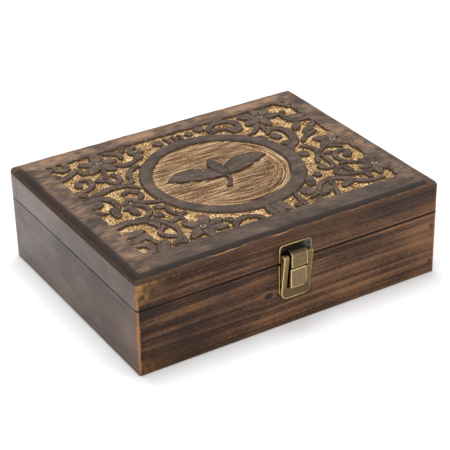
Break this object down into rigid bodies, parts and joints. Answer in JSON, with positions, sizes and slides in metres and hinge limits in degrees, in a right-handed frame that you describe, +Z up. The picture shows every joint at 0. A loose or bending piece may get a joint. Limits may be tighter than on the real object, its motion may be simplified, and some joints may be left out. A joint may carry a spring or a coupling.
{
  "type": "tea bag organizer box",
  "caption": "Flat wooden box with a hinged lid carved with scrolls and flowers, a brass toggle latch, and a divided inside for tea bags.",
  "frame": {"origin": "middle of the base's footprint, on the surface that the box stands on", "axes": "+X along the front to the right as seen from the front, +Y from the latch to the hinges, +Z up"},
  "size_m": [0.229, 0.1878, 0.07],
  "materials": {
    "wood_dark": "dark stained and scorched, waxed",
    "wood_carved": "dark stained top over a pale carved ground",
    "wood_inside": "plain, lightly oiled",
    "brass_antique": "antique, dark in the recesses and rubbed bright at the edges",
    "brass_rubbed": "antique, rubbed",
    "iron_dark": "blackened nail heads"
  },
  "bodies": {
    "base": {"base_front_board": "wood_dark", "base_back_board": "wood_dark", "base_left_board": "wood_dark", "base_right_board": "wood_dark", "base_bottom_panel": "wood_inside", "divider_long": "wood_inside", "divider_cross_left": "wood_inside", "divider_cross_right": "wood_inside", "base_corner_nails": "iron_dark", "latch_base_plate": "brass_antique", "latch_base_tacks": "brass_rubbed", "latch_lever_rivets": "brass_rubbed", "hinge_left_base_leaf": "brass_antique", "hinge_right_base_leaf": "brass_antique", "hinge_left_pin": "brass_rubbed", "hinge_right_pin": "brass_rubbed", "hinge_base_screws": "brass_rubbed"},
    "lid": {"lid_front_board": "wood_dark", "lid_back_board": "wood_dark", "lid_left_board": "wood_dark", "lid_right_board": "wood_dark", "lid_top": "wood_carved", "lid_corner_nails": "iron_dark", "latch_keeper": "brass_antique", "latch_keeper_tacks": "brass_rubbed", "hinge_left_lid_leaf": "brass_antique", "hinge_right_lid_leaf": "brass_antique", "hinge_lid_screws": "brass_rubbed"},
    "lever": {"latch_lever": "brass_antique", "latch_strap_pin": "brass_rubbed"},
    "strap": {"latch_strap": "brass_antique"}
  },
  "joints": [
    {"name": "lid_hinge", "type": "hinge", "parent": "base", "child": "lid", "pos_m": [0, 0.0911, 0.04725], "axis": [-1, 0, 0], "range_deg": [0, 100]},
    {"name": "lever_hinge", "type": "hinge", "parent": "base", "child": "lever", "pos_m": [0, -0.0926, 0.0525], "axis": [-1, 0, 0], "range_deg": [0, 115]},
    {"name": "strap_hinge", "type": "hinge", "parent": "lever", "child": "strap", "pos_m": [0, -0.09115, 0.0306], "axis": [1, 0, 0], "range_deg": [0, 20]}
  ]
}
